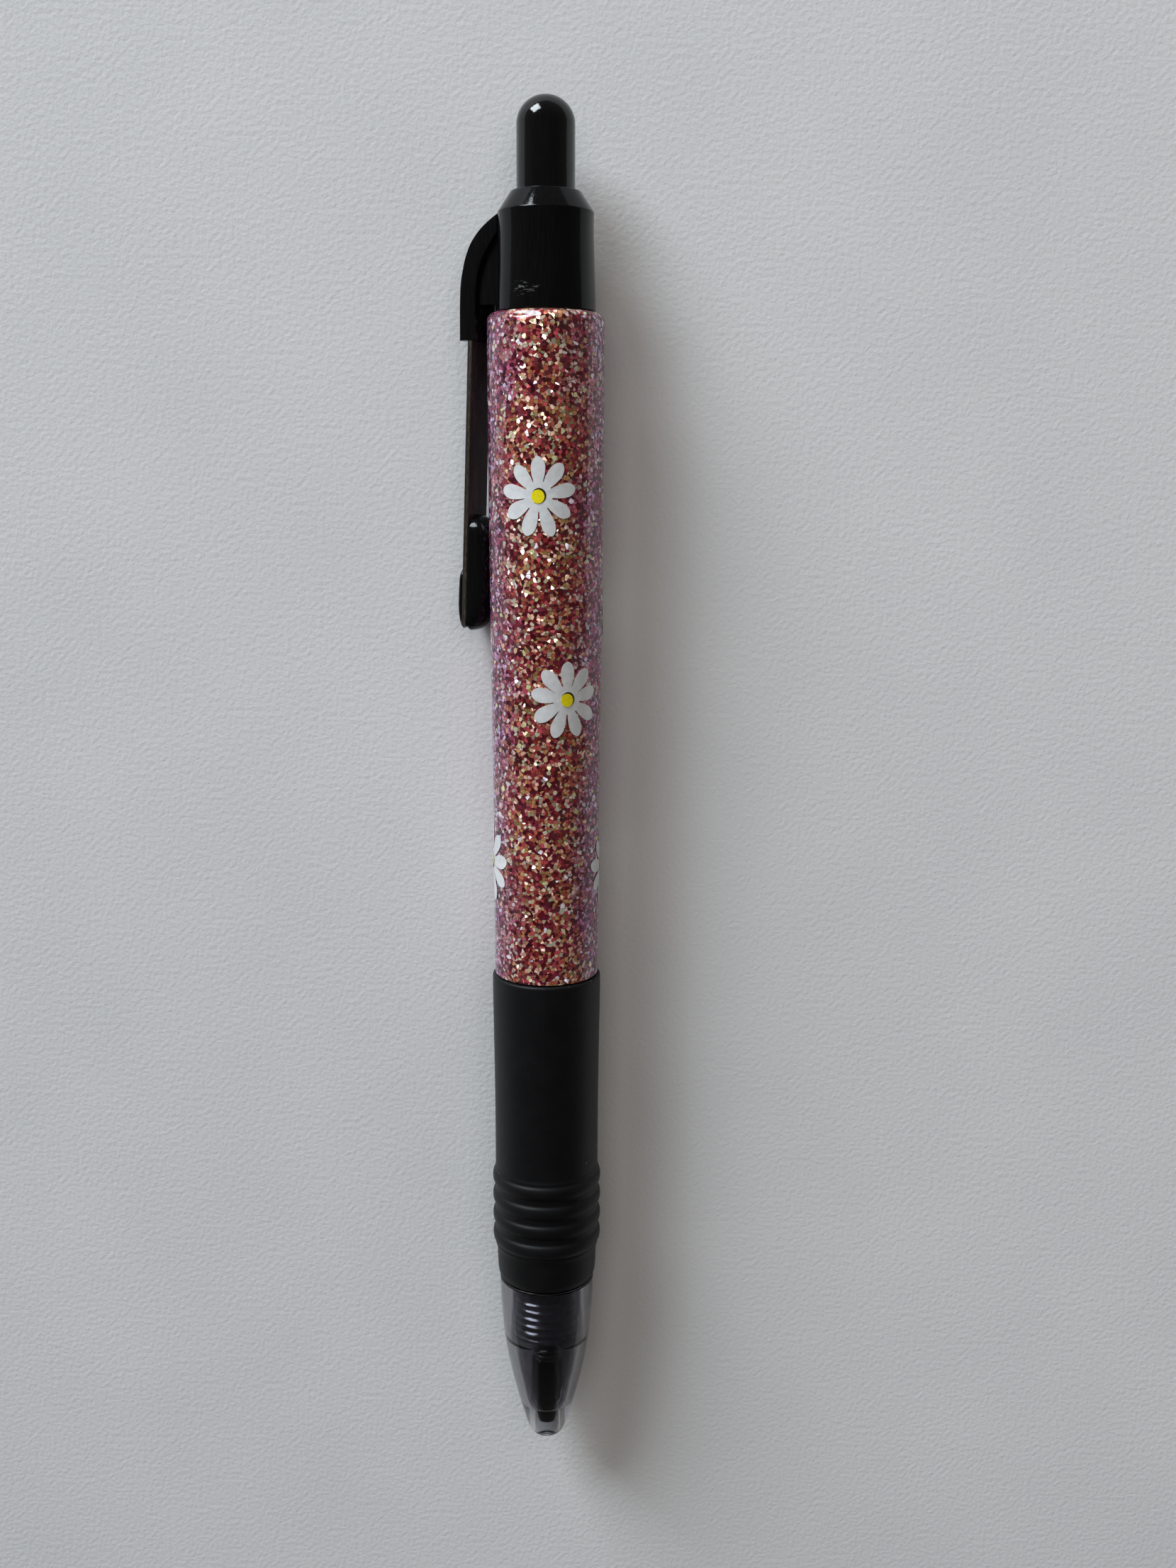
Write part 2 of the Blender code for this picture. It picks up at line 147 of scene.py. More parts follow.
# Daisies: height, angle in degrees. Half a petal is given as its reach and half width. The
# flower, the painted shadow round the eye and the eye are films: lift off the sleeve, thickness.
DAISIES = [(105.5, -6.0), (85.2, 23.0), (67.3, -84.0), (66.7, 96.0), (93.5, 118.0)]
PETALS = 9
PETAL_LENGTH = 3.95
PETAL_HALF = [(1.4, 0.45), (1.6, 0.51), (1.9, 0.6), (2.3, 0.68), (2.7, 0.73), (3.05, 0.72),
              (3.35, 0.64), (3.6, 0.51), (3.8, 0.33), (3.91, 0.15)]
DAISY_STRETCH = 1.04
FLOWER_FILM = (0.05, 0.03)
EYE_SHADOW_FILM = (0.085, 0.015)
EYE_FILM = (0.105, 0.04)
# The painted shadow is a dark disc a little wider than the eye, set up and right of it so a
# crescent shows.
EYE_SHADOW_R = 0.72
EYE_R = 0.65
EYE_SHADOW_SHIFT = (0.07, 0.06)
EYE_SHIFT = (-0.03, -0.03)

# Outlines of the sleeve and the nose: radius, height.
RESIN_PROFILE = [(5.90, 122.4), (5.92, 120.8), (5.90, 113.0), (5.86, 105.0), (5.79, 91.0),
                 (5.66, 80.0), (5.59, 72.0), (5.55, 60.0), (5.53, 55.2)]
NOSE_PROFILE = [(5.2, 19.4), (5.15, 16.9), (5.07, 15.8), (4.97, 14.4), (4.85, 13.0),
                (4.64, 11.6), (4.43, 10.2), (4.18, 8.8), (3.88, 7.4), (3.52, 5.9), (3.16, 4.5),
                (2.76, 3.05), (2.33, 1.6), (2.07, 0.88), (1.76, 0.3), (1.5, 0.06)]

# The smoke tint fades between these heights, to its palest at the mouth.
PALE_MOUTH = (1.0, 4.6)

# Rows of the clip pad: along the strip, depth, share of the half width.
PAD_INNER = [(-21.5, 2.12, 1.0), (-24.0, 2.14, 1.0), (-26.0, 2.06, 1.0), (-27.2, 1.9, 0.99),
             (-28.0, 1.68, 0.96), (-28.6, 1.38, 0.91), (-29.05, 1.02, 0.82),
             (-29.35, 0.65, 0.68), (-29.5, 0.35, 0.5)]
PAD_OUTER = [(-25.5, 0.66, 1.0), (-26.8, 0.68, 1.0), (-27.6, 0.62, 0.99), (-28.4, 0.5, 0.94),
             (-28.95, 0.36, 0.85), (-29.3, 0.2, 0.7)]
PAD_FOOT = [(-28.7, 0.75, 0.9), (-28.95, 0.74, 0.86), (-29.1, 0.68, 0.8), (-29.2, 0.56, 0.68)]
PAD_VOXEL = 0.07
POD_POINTS = 25
POD_SQUARENESS = 0.38

# Glitter: cells to a millimetre and the share of them that are flakes; how far flakes tilt;
# and bands of colour, each from where it starts.
FINE_FLAKES = (2.85, 0.8)
BOLD_FLAKES = (2.3, 0.07)
FLAKE_TILT = (0.9, 0.9, 0.9)
# Golds on the sleeve's top are painted reflection and lilacs down its sides painted sheen, each a
# mix of the flakes' own colours.
TOP_LIT_GOLDS = [(0.0, (0.26, 0.014, 0.026)), (0.16, (0.52, 0.055, 0.05)), (0.30, (0.78, 0.19, 0.12)),
         (0.44, (0.78, 0.42, 0.15)), (0.56, (0.36, 0.24, 0.08)), (0.64, (0.60, 0.08, 0.09)),
         (0.76, (0.82, 0.47, 0.33)), (0.88, (0.33, 0.29, 0.16)), (0.93, (0.92, 0.66, 0.50))]
SIDE_SHEEN_LILACS = [(0.0, (0.20, 0.014, 0.05)), (0.18, (0.44, 0.05, 0.20)), (0.34, (0.64, 0.24, 0.46)),
          (0.48, (0.46, 0.04, 0.11)), (0.60, (0.68, 0.34, 0.60)), (0.72, (0.28, 0.06, 0.24)),
          (0.84, (0.76, 0.40, 0.60)), (0.93, (0.56, 0.48, 0.82))]
# Brights colour the bold flakes pale: partly their own colour, partly painted sparkle.
SPARKLE_BRIGHTS = [(0.0, (1.0, 0.93, 0.72)), (0.4, (0.98, 0.95, 0.50)), (0.62, (0.95, 0.62, 0.38)),
           (0.8, (0.97, 0.88, 0.97))]

# ---------------------------------------------------------------- places

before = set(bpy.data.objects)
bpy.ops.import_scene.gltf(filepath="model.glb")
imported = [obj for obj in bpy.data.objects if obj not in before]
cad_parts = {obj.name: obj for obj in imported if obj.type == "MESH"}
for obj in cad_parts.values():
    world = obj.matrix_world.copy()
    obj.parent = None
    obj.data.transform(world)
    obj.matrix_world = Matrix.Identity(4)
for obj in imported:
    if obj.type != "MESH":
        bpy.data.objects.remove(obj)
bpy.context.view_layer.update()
nose_low, nose_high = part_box("nose_cone")
AXIS_X = (nose_low[0] + nose_high[0]) / 2
AXIS_Z = (nose_low[2] + nose_high[2]) / 2
MOUTH_Y = nose_low[1]


def spot(radius, height, angle):
    return Vector((AXIS_X + radius * MM * math.sin(angle), MOUTH_Y + height * MM,
                   AXIS_Z + radius * MM * math.cos(angle)))


def clip_spot(out, across, height):
    """A point beside the clip: its distance out from the axis, across the clip, and height."""
    outward = Vector((-math.cos(CLIP_DIP), 0, -math.sin(CLIP_DIP)))
    sideways = Vector((-math.sin(CLIP_DIP), 0, math.cos(CLIP_DIP)))
    base = Vector((AXIS_X, MOUTH_Y + height * MM, AXIS_Z))
    return base + outward * out * MM + sideways * across * MM


def strip_spot(inward, across, along):
    """A point beside the strip: inwards from its middle, across it, and along it from its root."""
    lean_in = math.cos(STRIP_LEAN)
    lean_down = math.sin(STRIP_LEAN)
    out = ROOT_RADIUS - inward * lean_in - along * lean_down
    return clip_spot(out, across, ROOT_HEIGHT + along * lean_in - inward * lean_down)


# ---------------------------------------------------------------- shapes

def soften(points, closed):
    """Round a profile's corners: a third number on a point is how far its rounding reaches."""
    softened = []
    count = len(points)
    for i, point in enumerate(points):
        corner = Vector(point[:2])
        reach = point[2] if len(point) > 2 else 0
        if not reach or (not closed and i in (0, count - 1)):
            softened.append(corner)
            continue
        before = Vector(points[i - 1][:2]) - corner
        after = Vector(points[(i + 1) % count][:2]) - corner
        first = corner + before.normalized() * min(reach, before.length * 0.48)
        last = corner + after.normalized() * min(reach, after.length * 0.48)
        for step in range(7):
            share = step / 6
            softened.append(first * (1 - share) ** 2 + corner * 2 * share * (1 - share)
                            + last * share ** 2)
    return softened


def flow(points, per=5):
    """A smooth curve through the points."""
    smooth = []
    vectors = [Vector(point) for point in points]
    for i in range(len(vectors) - 1):
        before = vectors[max(i - 1, 0)]
        start, end = vectors[i], vectors[i + 1]
        after = vectors[min(i + 2, len(vectors) - 1)]
        for step in range(per):
            t = step / per
            smooth.append(0.5 * (2 * start + (end - before) * t
                                 + (2 * before - 5 * start + 4 * end - after) * t * t
                                 + (3 * start - before - 3 * end + after) * t ** 3))
    smooth.append(vectors[-1])
    return [tuple(point) for point in smooth]


def finish_mesh(name, shape, materials, sharp=SHARP_EDGE):
    """A smooth-shaded object from a bmesh, its edges sharper than an angle kept crisp."""
    mesh = bpy.data.meshes.new(name)
    bmesh.ops.recalc_face_normals(shape, faces=shape.faces)
    shape.to_mesh(mesh)
    shape.free()
    for material in materials:
        mesh.materials.append(material)
    mesh.shade_smooth()
    mesh.set_sharp_from_angle(angle=sharp)
    obj = bpy.data.objects.new(name, mesh)
    bpy.context.scene.collection.objects.link(obj)
    return obj


def lathe(name, profile, material, steps, ring=False, swell=None):
    """Turn a profile of (radius, height) points. swell(radius, height, angle) shifts the skin."""
    shape = bmesh.new()
    rows = []
    for radius, height in profile:
        if radius < 1e-6:
            rows.append([shape.verts.new(spot(0, height, 0))])
            continue
        row = []
        for i in range(steps):
            angle = 2 * math.pi * i / steps
            shift = swell(radius, height, angle) if swell else 0
            row.append(shape.verts.new(spot(radius + shift, height, angle)))
        rows.append(row)
    pairs = list(zip(rows, rows[1:]))
    if ring:
        pairs.append((rows[-1], rows[0]))
    for upper, lower in pairs:
        for i in range(steps):
            j = (i + 1) % steps
            around = [upper[i % len(upper)], upper[j % len(upper)],
                      lower[j % len(lower)], lower[i % len(lower)]]
            shape.faces.new(dict.fromkeys(around))
    return finish_mesh(name, shape, [material])


def loft(name, rows, materials, place, pick=None, sharp=SHARP_EDGE):
    """Skin a stack of closed outlines and cap both ends. pick(i) chooses a side's material."""
    shape = bmesh.new()
    loops = [[shape.verts.new(place(*point)) for point in row] for row in rows]
    for near, far in zip(loops, loops[1:]):
        for i in range(len(near)):
            j = (i + 1) % len(near)
            face = shape.faces.new((near[i], near[j], far[j], far[i]))
            if pick:
                face.material_index = pick(i)
    caps = [shape.faces.new(loops[0]), shape.faces.new(loops[-1])]
    bmesh.ops.triangulate(shape, faces=caps)
    return finish_mesh(name, shape, materials, sharp)


def inset(outline, distance):
    """Shrink a closed outline by moving each corner along the bisector of its edges."""
    area = sum(a[0] * b[1] - b[0] * a[1] for a, b in zip(outline, outline[1:] + outline[:1]))
    side = 1 if area > 0 else -1
    moved = []
    for i, point in enumerate(outline):
        before = (Vector(point) - Vector(outline[i - 1])).normalized()
        after = (Vector(outline[(i + 1) % len(outline)]) - Vector(point)).normalized()
        normal_a = Vector((-before.y, before.x)) * side
        normal_b = Vector((-after.y, after.x)) * side
        bisector = (normal_a + normal_b).normalized()
        scale = distance / max(0.35, bisector.dot(normal_a))
        moved.append(tuple(Vector(point) + bisector * scale))
    return moved


def slab(name, outline, half_width, edge, material):
    """An outline of (out, height) points beside the clip, given width and rounded edges."""
    rows = []
    turns = [math.pi / 2 * i / 4 for i in range(5)]
    profile = [(-half_width + edge * (1 - math.cos(a)), edge * (1 - math.sin(a)))
               for a in turns]
    profile += [(-across, depth) for across, depth in reversed(profile)]
    for across, depth in profile:
        rows.append([(x, across, y) for x, y in inset(outline, depth)])
    return loft(name, rows, [material], clip_spot)


# ---------------------------------------------------------------- materials

def begin(name, colour, roughness, sockets=None):
    """A new material: its node tree, its Principled shader and object coordinates in mm."""
    material = bpy.data.materials.new(name)
    material.use_nodes = True
    tree = material.node_tree
    shader = tree.nodes["Principled BSDF"]
    shader.inputs["Base Color"].default_value = (*colour, 1)
    shader.inputs["Roughness"].default_value = roughness
    for key, value in (sockets or {}).items():
        shader.inputs[key].default_value = value
    place = add(tree, "ShaderNodeTexCoord").outputs["Object"]
    scaled = add(tree, "ShaderNodeVectorMath", {0: place, "Scale": 1000.0}, operation="SCALE")
    return material, tree, shader, scaled.outputs["Vector"]


def add(tree, kind, inputs=None, **settings):
    """A new node. An input is a value or the socket that feeds it."""
    made = tree.nodes.new(kind)
    for key, value in settings.items():
        setattr(made, key, value)
    for key, value in (inputs or {}).items():
        if isinstance(value, bpy.types.NodeSocket):
            tree.links.new(value, made.inputs[key])
        else:
            made.inputs[key].default_value = value
    return made


def noise_value(tree, place, scale, detail, stretch=None):
    """Soft noise between 0 and 1, its coordinates multiplied by stretch."""
    if stretch:
        place = add(tree, "ShaderNodeVectorMath", {0: place, 1: stretch},
                    operation="MULTIPLY").outputs["Vector"]
    return add(tree, "ShaderNodeTexNoise", {"Vector": place, "Scale": scale,
                                            "Detail": detail}).outputs["Fac"]


def spread(tree, value, low, high, to_low, to_high):
    """Map a value from one range to another, clamped."""
    return add(tree, "ShaderNodeMapRange", {"Value": value, "From Min": low, "From Max": high,
                                            "To Min": to_low, "To Max": to_high}).outputs[0]


def calc(tree, operation, first, second=0.0):
    return add(tree, "ShaderNodeMath", {0: first, 1: second}, operation=operation).outputs[0]


def blend(tree, factor, first, second):
    """Mix two colours, each a socket or (r, g, b)."""
    colours = [value if isinstance(value, bpy.types.NodeSocket) else (*value, 1)
               for value in (first, second)]
    mix = add(tree, "ShaderNodeMix", {"Factor": factor, 6: colours[0], 7: colours[1]},
              data_type="RGBA")
    return mix.outputs[2]


def mottle(tree, cloud, dark, light, low=0.3, high=0.7):
    """Go from a dark to a light colour as a noise value climbs from low to high."""
    return blend(tree, spread(tree, cloud, low, high, 0, 1), dark, light)


def bands(tree, factor, stops):
    """Plain bands of colour, with no fade between them."""
    made = add(tree, "ShaderNodeValToRGB", {"Fac": factor})
    made.color_ramp.interpolation = "CONSTANT"
    elements = made.color_ramp.elements
    while len(elements) < len(stops):
        elements.new(1.0)
    for element, (position, colour) in zip(elements, stops):
        element.position = position
        element.color = (*colour, 1)
    return made.outputs["Color"]


def feed(tree, shader, **values):
    """Link sockets to the shader's inputs, named as in base_color=socket."""
    for key, value in values.items():
        tree.links.new(value, shader.inputs[key.replace("_", " ").title()])


def bump(tree, shader, height, depth):
    """Raise the surface by height times depth, in mm."""
    made = add(tree, "ShaderNodeBump", {"Height": height, "Distance": depth * MM,
                                        "Strength": 1.0})
    feed(tree, shader, normal=made.outputs["Normal"])


def height_above_mouth(tree, place):
    return calc(tree, "SUBTRACT", add(tree, "ShaderNodeSeparateXYZ", {0: place}).outputs[1],
                MOUTH_Y / MM)


def scuffs(tree, place):
    """A mask of short streaks, in a flat patch on the clip cap."""
    middle = spot(*SCUFF_PLACE) / MM * Vector(SCUFF_FLATTEN)
    flat = add(tree, "ShaderNodeVectorMath", {0: place, 1: SCUFF_FLATTEN},
               operation="MULTIPLY").outputs["Vector"]
    away = add(tree, "ShaderNodeVectorMath", {0: flat, 1: tuple(middle)},
               operation="DISTANCE").outputs["Value"]
    near = spread(tree, away, *SCUFF_REACH, 1, 0)
    streaks = noise_value(tree, place, 1.7, 2.0, (1.0, 3.6, 1.0))
    return calc(tree, "MULTIPLY", near, spread(tree, streaks, 0.58, 0.63, 0, 1))


def black_gloss(name, shine=0.3, scuffed=False):
    """Moulded black plastic: a fine sheen, faint flow lines and, if asked, a few scuffs."""
    material, tree, shader, place = begin(name, BLACK, 0.08,
                                          {"Specular IOR Level": shine})
    grain = noise_value(tree, place, 6.0, 4.0)
    lines = noise_value(tree, place, 1.0, 3.0, (7.0, 0.35, 7.0))
    rough = spread(tree, calc(tree, "MULTIPLY", grain, lines), 0.15, 0.4, 0.05, 0.13)
    colour = mottle(tree, lines, (0.0032, 0.0032, 0.0036), (0.006, 0.006, 0.0064), 0.35, 0.75)
    if scuffed:
        marks = scuffs(tree, place)
        rough = calc(tree, "ADD", rough, calc(tree, "MULTIPLY", marks, SCUFF_ROUGHNESS))
        colour = blend(tree, marks, colour, SCUFF_COLOUR)
    feed(tree, shader, base_color=colour, roughness=rough)
    bump(tree, shader, calc(tree, "ADD", lines, grain), 0.004)
    return material


def barrel_plastic():
    """Black plastic under the sleeve and grip, running into glossy smoke grey at the neck."""
    material, tree, shader, place = begin("barrel_plastic", (0.01, 0.01, 0.01), 0.1,
                                          {"Coat Weight": 1.0, "Coat IOR": 2.6,
                                           "Coat Roughness": 0.05, "Metallic": 0.3})
    neck = spread(tree, height_above_mouth(tree, place), *NECK_EDGE, 1, 0)
    cloud = noise_value(tree, place, 1.4, 3.0)
    grey = mottle(tree, cloud, (0.55, 0.55, 0.59), (0.80, 0.80, 0.84))
    feed(tree, shader, base_color=blend(tree, neck, BLACK, grey),
         roughness=spread(tree, cloud, 0.3, 0.7, 0.1, 0.2))
    return material


def satin_black(name):
    """Black plastic with a satin skin."""
    material, tree, shader, place = begin(name, (0.008, 0.008, 0.009), 0.3)
    grain = noise_value(tree, place, 9.0, 4.0)
    feed(tree, shader, roughness=spread(tree, grain, 0.3, 0.7, 0.22, 0.38))
    bump(tree, shader, grain, 0.006)
    return material


def grip_rubber():
    """Matte rubber: fine skin texture, a little dust and a soft edge sheen."""
    material, tree, shader, place = begin("grip_rubber", BLACK, 0.5,
                                          {"Specular IOR Level": 0.28})
    skin = noise_value(tree, place, 11.0, 5.0)
    cloud = noise_value(tree, place, 0.5, 3.0)
    dust = add(tree, "ShaderNodeTexVoronoi", {"Vector": place, "Scale": 0.42})
    dusty = spread(tree, dust.outputs["Distance"], 0.03, 0.045, 1, 0)
    kept = add(tree, "ShaderNodeSeparateColor", {"Color": dust.outputs["Color"]}).outputs[0]
    dusty = calc(tree, "MULTIPLY", dusty, calc(tree, "GREATER_THAN", kept, 0.55))
    rubber = mottle(tree, cloud, (0.0036, 0.0036, 0.0041), (0.0056, 0.0056, 0.0062))
    feed(tree, shader, base_color=blend(tree, dusty, rubber, (0.16, 0.16, 0.15)),
         roughness=spread(tree, skin, 0.25, 0.75, 0.42, 0.56))
    bump(tree, shader, skin, 0.012)
    return material


def flakes(tree, place, scale, keep):
    """A layer of glitter: its mask, its tilt and three random numbers for each flake."""
    cells = add(tree, "ShaderNodeTexVoronoi", {"Vector": place, "Scale": scale})
    edges = add(tree, "ShaderNodeTexVoronoi", {"Vector": place, "Scale": scale},
                feature="DISTANCE_TO_EDGE")
    parts = add(tree, "ShaderNodeSeparateColor", {"Color": cells.outputs["Color"]}).outputs
    body = spread(tree, edges.outputs["Distance"], 0.035, 0.075, 0, 1)
    mask = calc(tree, "MULTIPLY", body, calc(tree, "LESS_THAN", parts[0], keep))
    tilt = add(tree, "ShaderNodeVectorMath", {0: cells.outputs["Color"], 1: (0.5, 0.5, 0.5)},
               operation="SUBTRACT").outputs["Vector"]
    return mask, tilt, parts


def painted_light_side(tree, place):
    """0 along the sleeve's top and 1 down its sides, with a wandering edge between: where painted
    reflection gives way to painted sheen and shade.
    """
    centre = (AXIS_X / MM, 0.0, AXIS_Z / MM)
    radial = add(tree, "ShaderNodeVectorMath", {0: place, 1: centre}, operation="SUBTRACT")
    across = add(tree, "ShaderNodeSeparateXYZ", {0: radial.outputs["Vector"]}).outputs
    turn = calc(tree, "ARCTAN2", across[0], across[2])
    wander = noise_value(tree, place, 0.16, 3.0)
    offset = calc(tree, "SUBTRACT", turn, spread(tree, wander, 0.3, 0.7, -0.35, 0.35))
    return spread(tree, calc(tree, "ABSOLUTE", offset), 0.45, 1.15, 0, 1)


def resin_colour(tree, place, side):
    """The wine-red resin between the flakes, warmer and redder in patches on top, with painted
    shade darkening it down the sides.
    """
    speckle = noise_value(tree, place, 5.0, 2.0)
    patches = noise_value(tree, place, 0.3, 2.0)
    warm = mottle(tree, patches, (0.15, 0.034, 0.026), (0.24, 0.014, 0.045), 0.4, 0.6)
    base = mottle(tree, speckle, (0.085, 0.010, 0.022), warm, 0.35, 0.65)
    # Painted shade: the resin darkens down the sides.
    return blend(tree, side, base, (0.055, 0.004, 0.022))


def flake_colour(tree, side, numbers):
    """Gold on top and lilac down the sides, painted reflection and sheen over the flakes' mixed
    colours, with a few pale painted glints in each.
    """
    hue = blend(tree, side, bands(tree, numbers[1], TOP_LIT_GOLDS), bands(tree, numbers[1], SIDE_SHEEN_LILACS))
    # A few flakes are painted pale glints, warm on top and lilac-white down the sides.
    painted_glint = blend(tree, side, (0.95, 0.85, 0.62), (0.88, 0.80, 0.95))
    return blend(tree, calc(tree, "GREATER_THAN", numbers[2], 0.94), hue, painted_glint)


def lean_flakes(tree, shader, tilt):
    """Tilt the surface under the clear gloss, so that each flake catches light its own way."""
    normal = add(tree, "ShaderNodeNewGeometry").outputs["Normal"]
    leaned = add(tree, "ShaderNodeVectorMath", {0: tilt, 1: FLAKE_TILT, 2: normal},
                 operation="MULTIPLY_ADD").outputs["Vector"]
    facing = add(tree, "ShaderNodeVectorMath", {0: leaned}, operation="NORMALIZE")
    feed(tree, shader, normal=facing.outputs["Vector"])


def glitter_resin():
    """Resin full of fine and bold flakes, under clear gloss."""
    material, tree, shader, place = begin(
        "glitter_resin", (0.12, 0.012, 0.035), 0.3,
        {"Coat Weight": 0.85, "Coat Roughness": 0.03, "Coat IOR": 1.54,
         "Specular IOR Level": 0.3})
    # This mask paints gold reflection on top, and lilac sheen and darker shade down the sides.
    side = painted_light_side(tree, place)
    fine_mask, fine_tilt, fine = flakes(tree, place, *FINE_FLAKES)
    bold_mask, bold_tilt, bold = flakes(tree, place, *BOLD_FLAKES)
    colour = blend(tree, fine_mask, resin_colour(tree, place, side),
                   flake_colour(tree, side, fine))
    # Bold flakes are painted pale: partly their own colour, partly painted sparkle.
    colour = blend(tree, bold_mask, colour, bands(tree, bold[1], SPARKLE_BRIGHTS))
    shiny = calc(tree, "MAXIMUM", calc(tree, "MULTIPLY", fine_mask, 0.45),
                 calc(tree, "MULTIPLY", bold_mask, 0.6))
    feed(tree, shader, base_color=colour, metallic=shiny,
         roughness=spread(tree, fine_mask, 0, 1, 0.5, 0.28))
    tilt = add(tree, "ShaderNodeMix", {"Factor": bold_mask, 4: fine_tilt, 5: bold_tilt},
               data_type="VECTOR").outputs[1]
    lean_flakes(tree, shader, tilt)
    return material


def petal_white():
    """White film under clear resin, faintly cloudy."""
    material, tree, shader, place = begin("petal_white", (0.8, 0.8, 0.8), 0.35,
                                          {"Coat Weight": 1.0, "Coat Roughness": 0.04})
    cloud = noise_value(tree, place, 1.6, 3.0)
    feed(tree, shader, base_color=mottle(tree, cloud, (0.70, 0.72, 0.74), (0.84, 0.84, 0.85)))
    bump(tree, shader, noise_value(tree, place, 8.0, 3.0), 0.003)
    return material


def film(name, dark, light, roughness=0.3):
    """A coloured film under clear resin, slightly mottled."""
    material, tree, shader, place = begin(name, light, roughness,
                                          {"Coat Weight": 1.0, "Coat Roughness": 0.05})
    cloud = noise_value(tree, place, 4.0, 3.0)
    feed(tree, shader, base_color=mottle(tree, cloud, dark, light, 0.35, 0.65))
    return material


def smoke_plastic():
    """Smoky clear plastic, paler where it thins at the mouth, with faint moulding flow."""
    material, tree, shader, place = begin("smoke_plastic", (0.4, 0.4, 0.43), 0.03,
                                          {"Transmission Weight": 1.0, "IOR": 1.49})
    flow_marks = noise_value(tree, place, 0.9, 3.0, (1.6, 0.5, 1.6))
    smoke = mottle(tree, flow_marks, (0.27, 0.265, 0.29), (0.34, 0.335, 0.365))
    pale = spread(tree, height_above_mouth(tree, place), *PALE_MOUTH, 1, 0)
    feed(tree, shader, base_color=blend(tree, pale, smoke, (0.76, 0.76, 0.78)),
         roughness=spread(tree, flow_marks, 0.3, 0.7, 0.015, 0.06))
    bump(tree, shader, flow_marks, 0.006)
    return material


def clear_plastic():
    """The refill's milky clear tube."""
    material, tree, shader, place = begin("clear_plastic", (0.8, 0.82, 0.82), 0.2,
                                          {"Transmission Weight": 0.7, "IOR": 1.49})
    grain = noise_value(tree, place, 3.0, 3.0)
    feed(tree, shader, roughness=spread(tree, grain, 0.3, 0.7, 0.12, 0.3))
    return material


def metal(name, dark, light, roughness, stretch=(6.0, 0.6, 6.0)):
    """Bare metal with fine drawing or turning marks."""
    material, tree, shader, place = begin(name, light, roughness, {"Metallic": 1.0})
    marks = noise_value(tree, place, 3.0, 4.0, stretch)
    feed(tree, shader, base_color=mottle(tree, marks, dark, light),
         roughness=spread(tree, marks, 0.3, 0.7, roughness * 0.7, roughness * 1.4))
    bump(tree, shader, marks, 0.003)
    return material


def strip_coating():
    """Black-brown coating on spring metal, rubbed thin in places."""
    material, tree, shader, place = begin("strip_coating", (0.05, 0.042, 0.04), 0.28,
                                          {"Metallic": 0.2})
    rub = noise_value(tree, place, 0.5, 4.0, (1.5, 0.4, 1.5))
    worn = mottle(tree, rub, (0.036, 0.027, 0.026), (0.062, 0.049, 0.047), 0.35, 0.75)
    feed(tree, shader, base_color=worn, roughness=spread(tree, rub, 0.3, 0.7, 0.2, 0.32))
    bump(tree, shader, noise_value(tree, place, 7.0, 3.0), 0.004)
    return material


def moulded(name, dark, light, roughness):
    """Plain moulded plastic or wax, with a slight cloudiness."""
    material, tree, shader, place = begin(name, light, roughness)
    cloud = noise_value(tree, place, 1.2, 4.0)
    feed(tree, shader, base_color=mottle(tree, cloud, dark, light))
    bump(tree, shader, noise_value(tree, place, 8.0, 3.0), 0.005)
    return material


def paper():
    """Smooth white paper with a faint tooth."""
    material, tree, shader, place = begin("paper", (0.8, 0.8, 0.8), 0.8,
                                          {"Specular IOR Level": 0.25})
    cloud = noise_value(tree, place, 0.05, 4.0)
    tooth = noise_value(tree, place, 2.0, 5.0)
    white = mottle(tree, cloud, (0.77, 0.775, 0.78), (0.81, 0.812, 0.815))
    feed(tree, shader, base_color=white)
    bump(tree, shader, tooth, 0.07)
    return material


# ---------------------------------------------------------------- pieces

def place_piece(obj, body, slot, *nodes):
    """Let a mesh ride a body and stand in for CAD nodes. The slot argument is not used."""
    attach(obj, body)
    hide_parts(*nodes)


def make_button():
    dome = [(BUTTON_R * math.sin(a), DOME_FOOT + DOME_RISE * math.cos(a))
            for a in (math.radians(6 * i) for i in range(16))]
    dome[0] = (0, DOME_FOOT + DOME_RISE)
    body = [(BUTTON_R, 138.0), (BUTTON_R, 132.25, 0.05), (3.3, 132.25, 0.1),
            (3.3, 130.4, 0.1), (BUTTON_R, 130.2), (BUTTON_R, 112.9, 0.15),
            (1.75, 112.9, 0.1), (1.75, 118.5), (0, 118.5)]
    profile = soften(dome + body, False)
    button = lathe("push_button", profile, black_gloss("button_gloss", 0.5), steps=128)
    place_piece(button, "button", "black_gloss", "plunger")


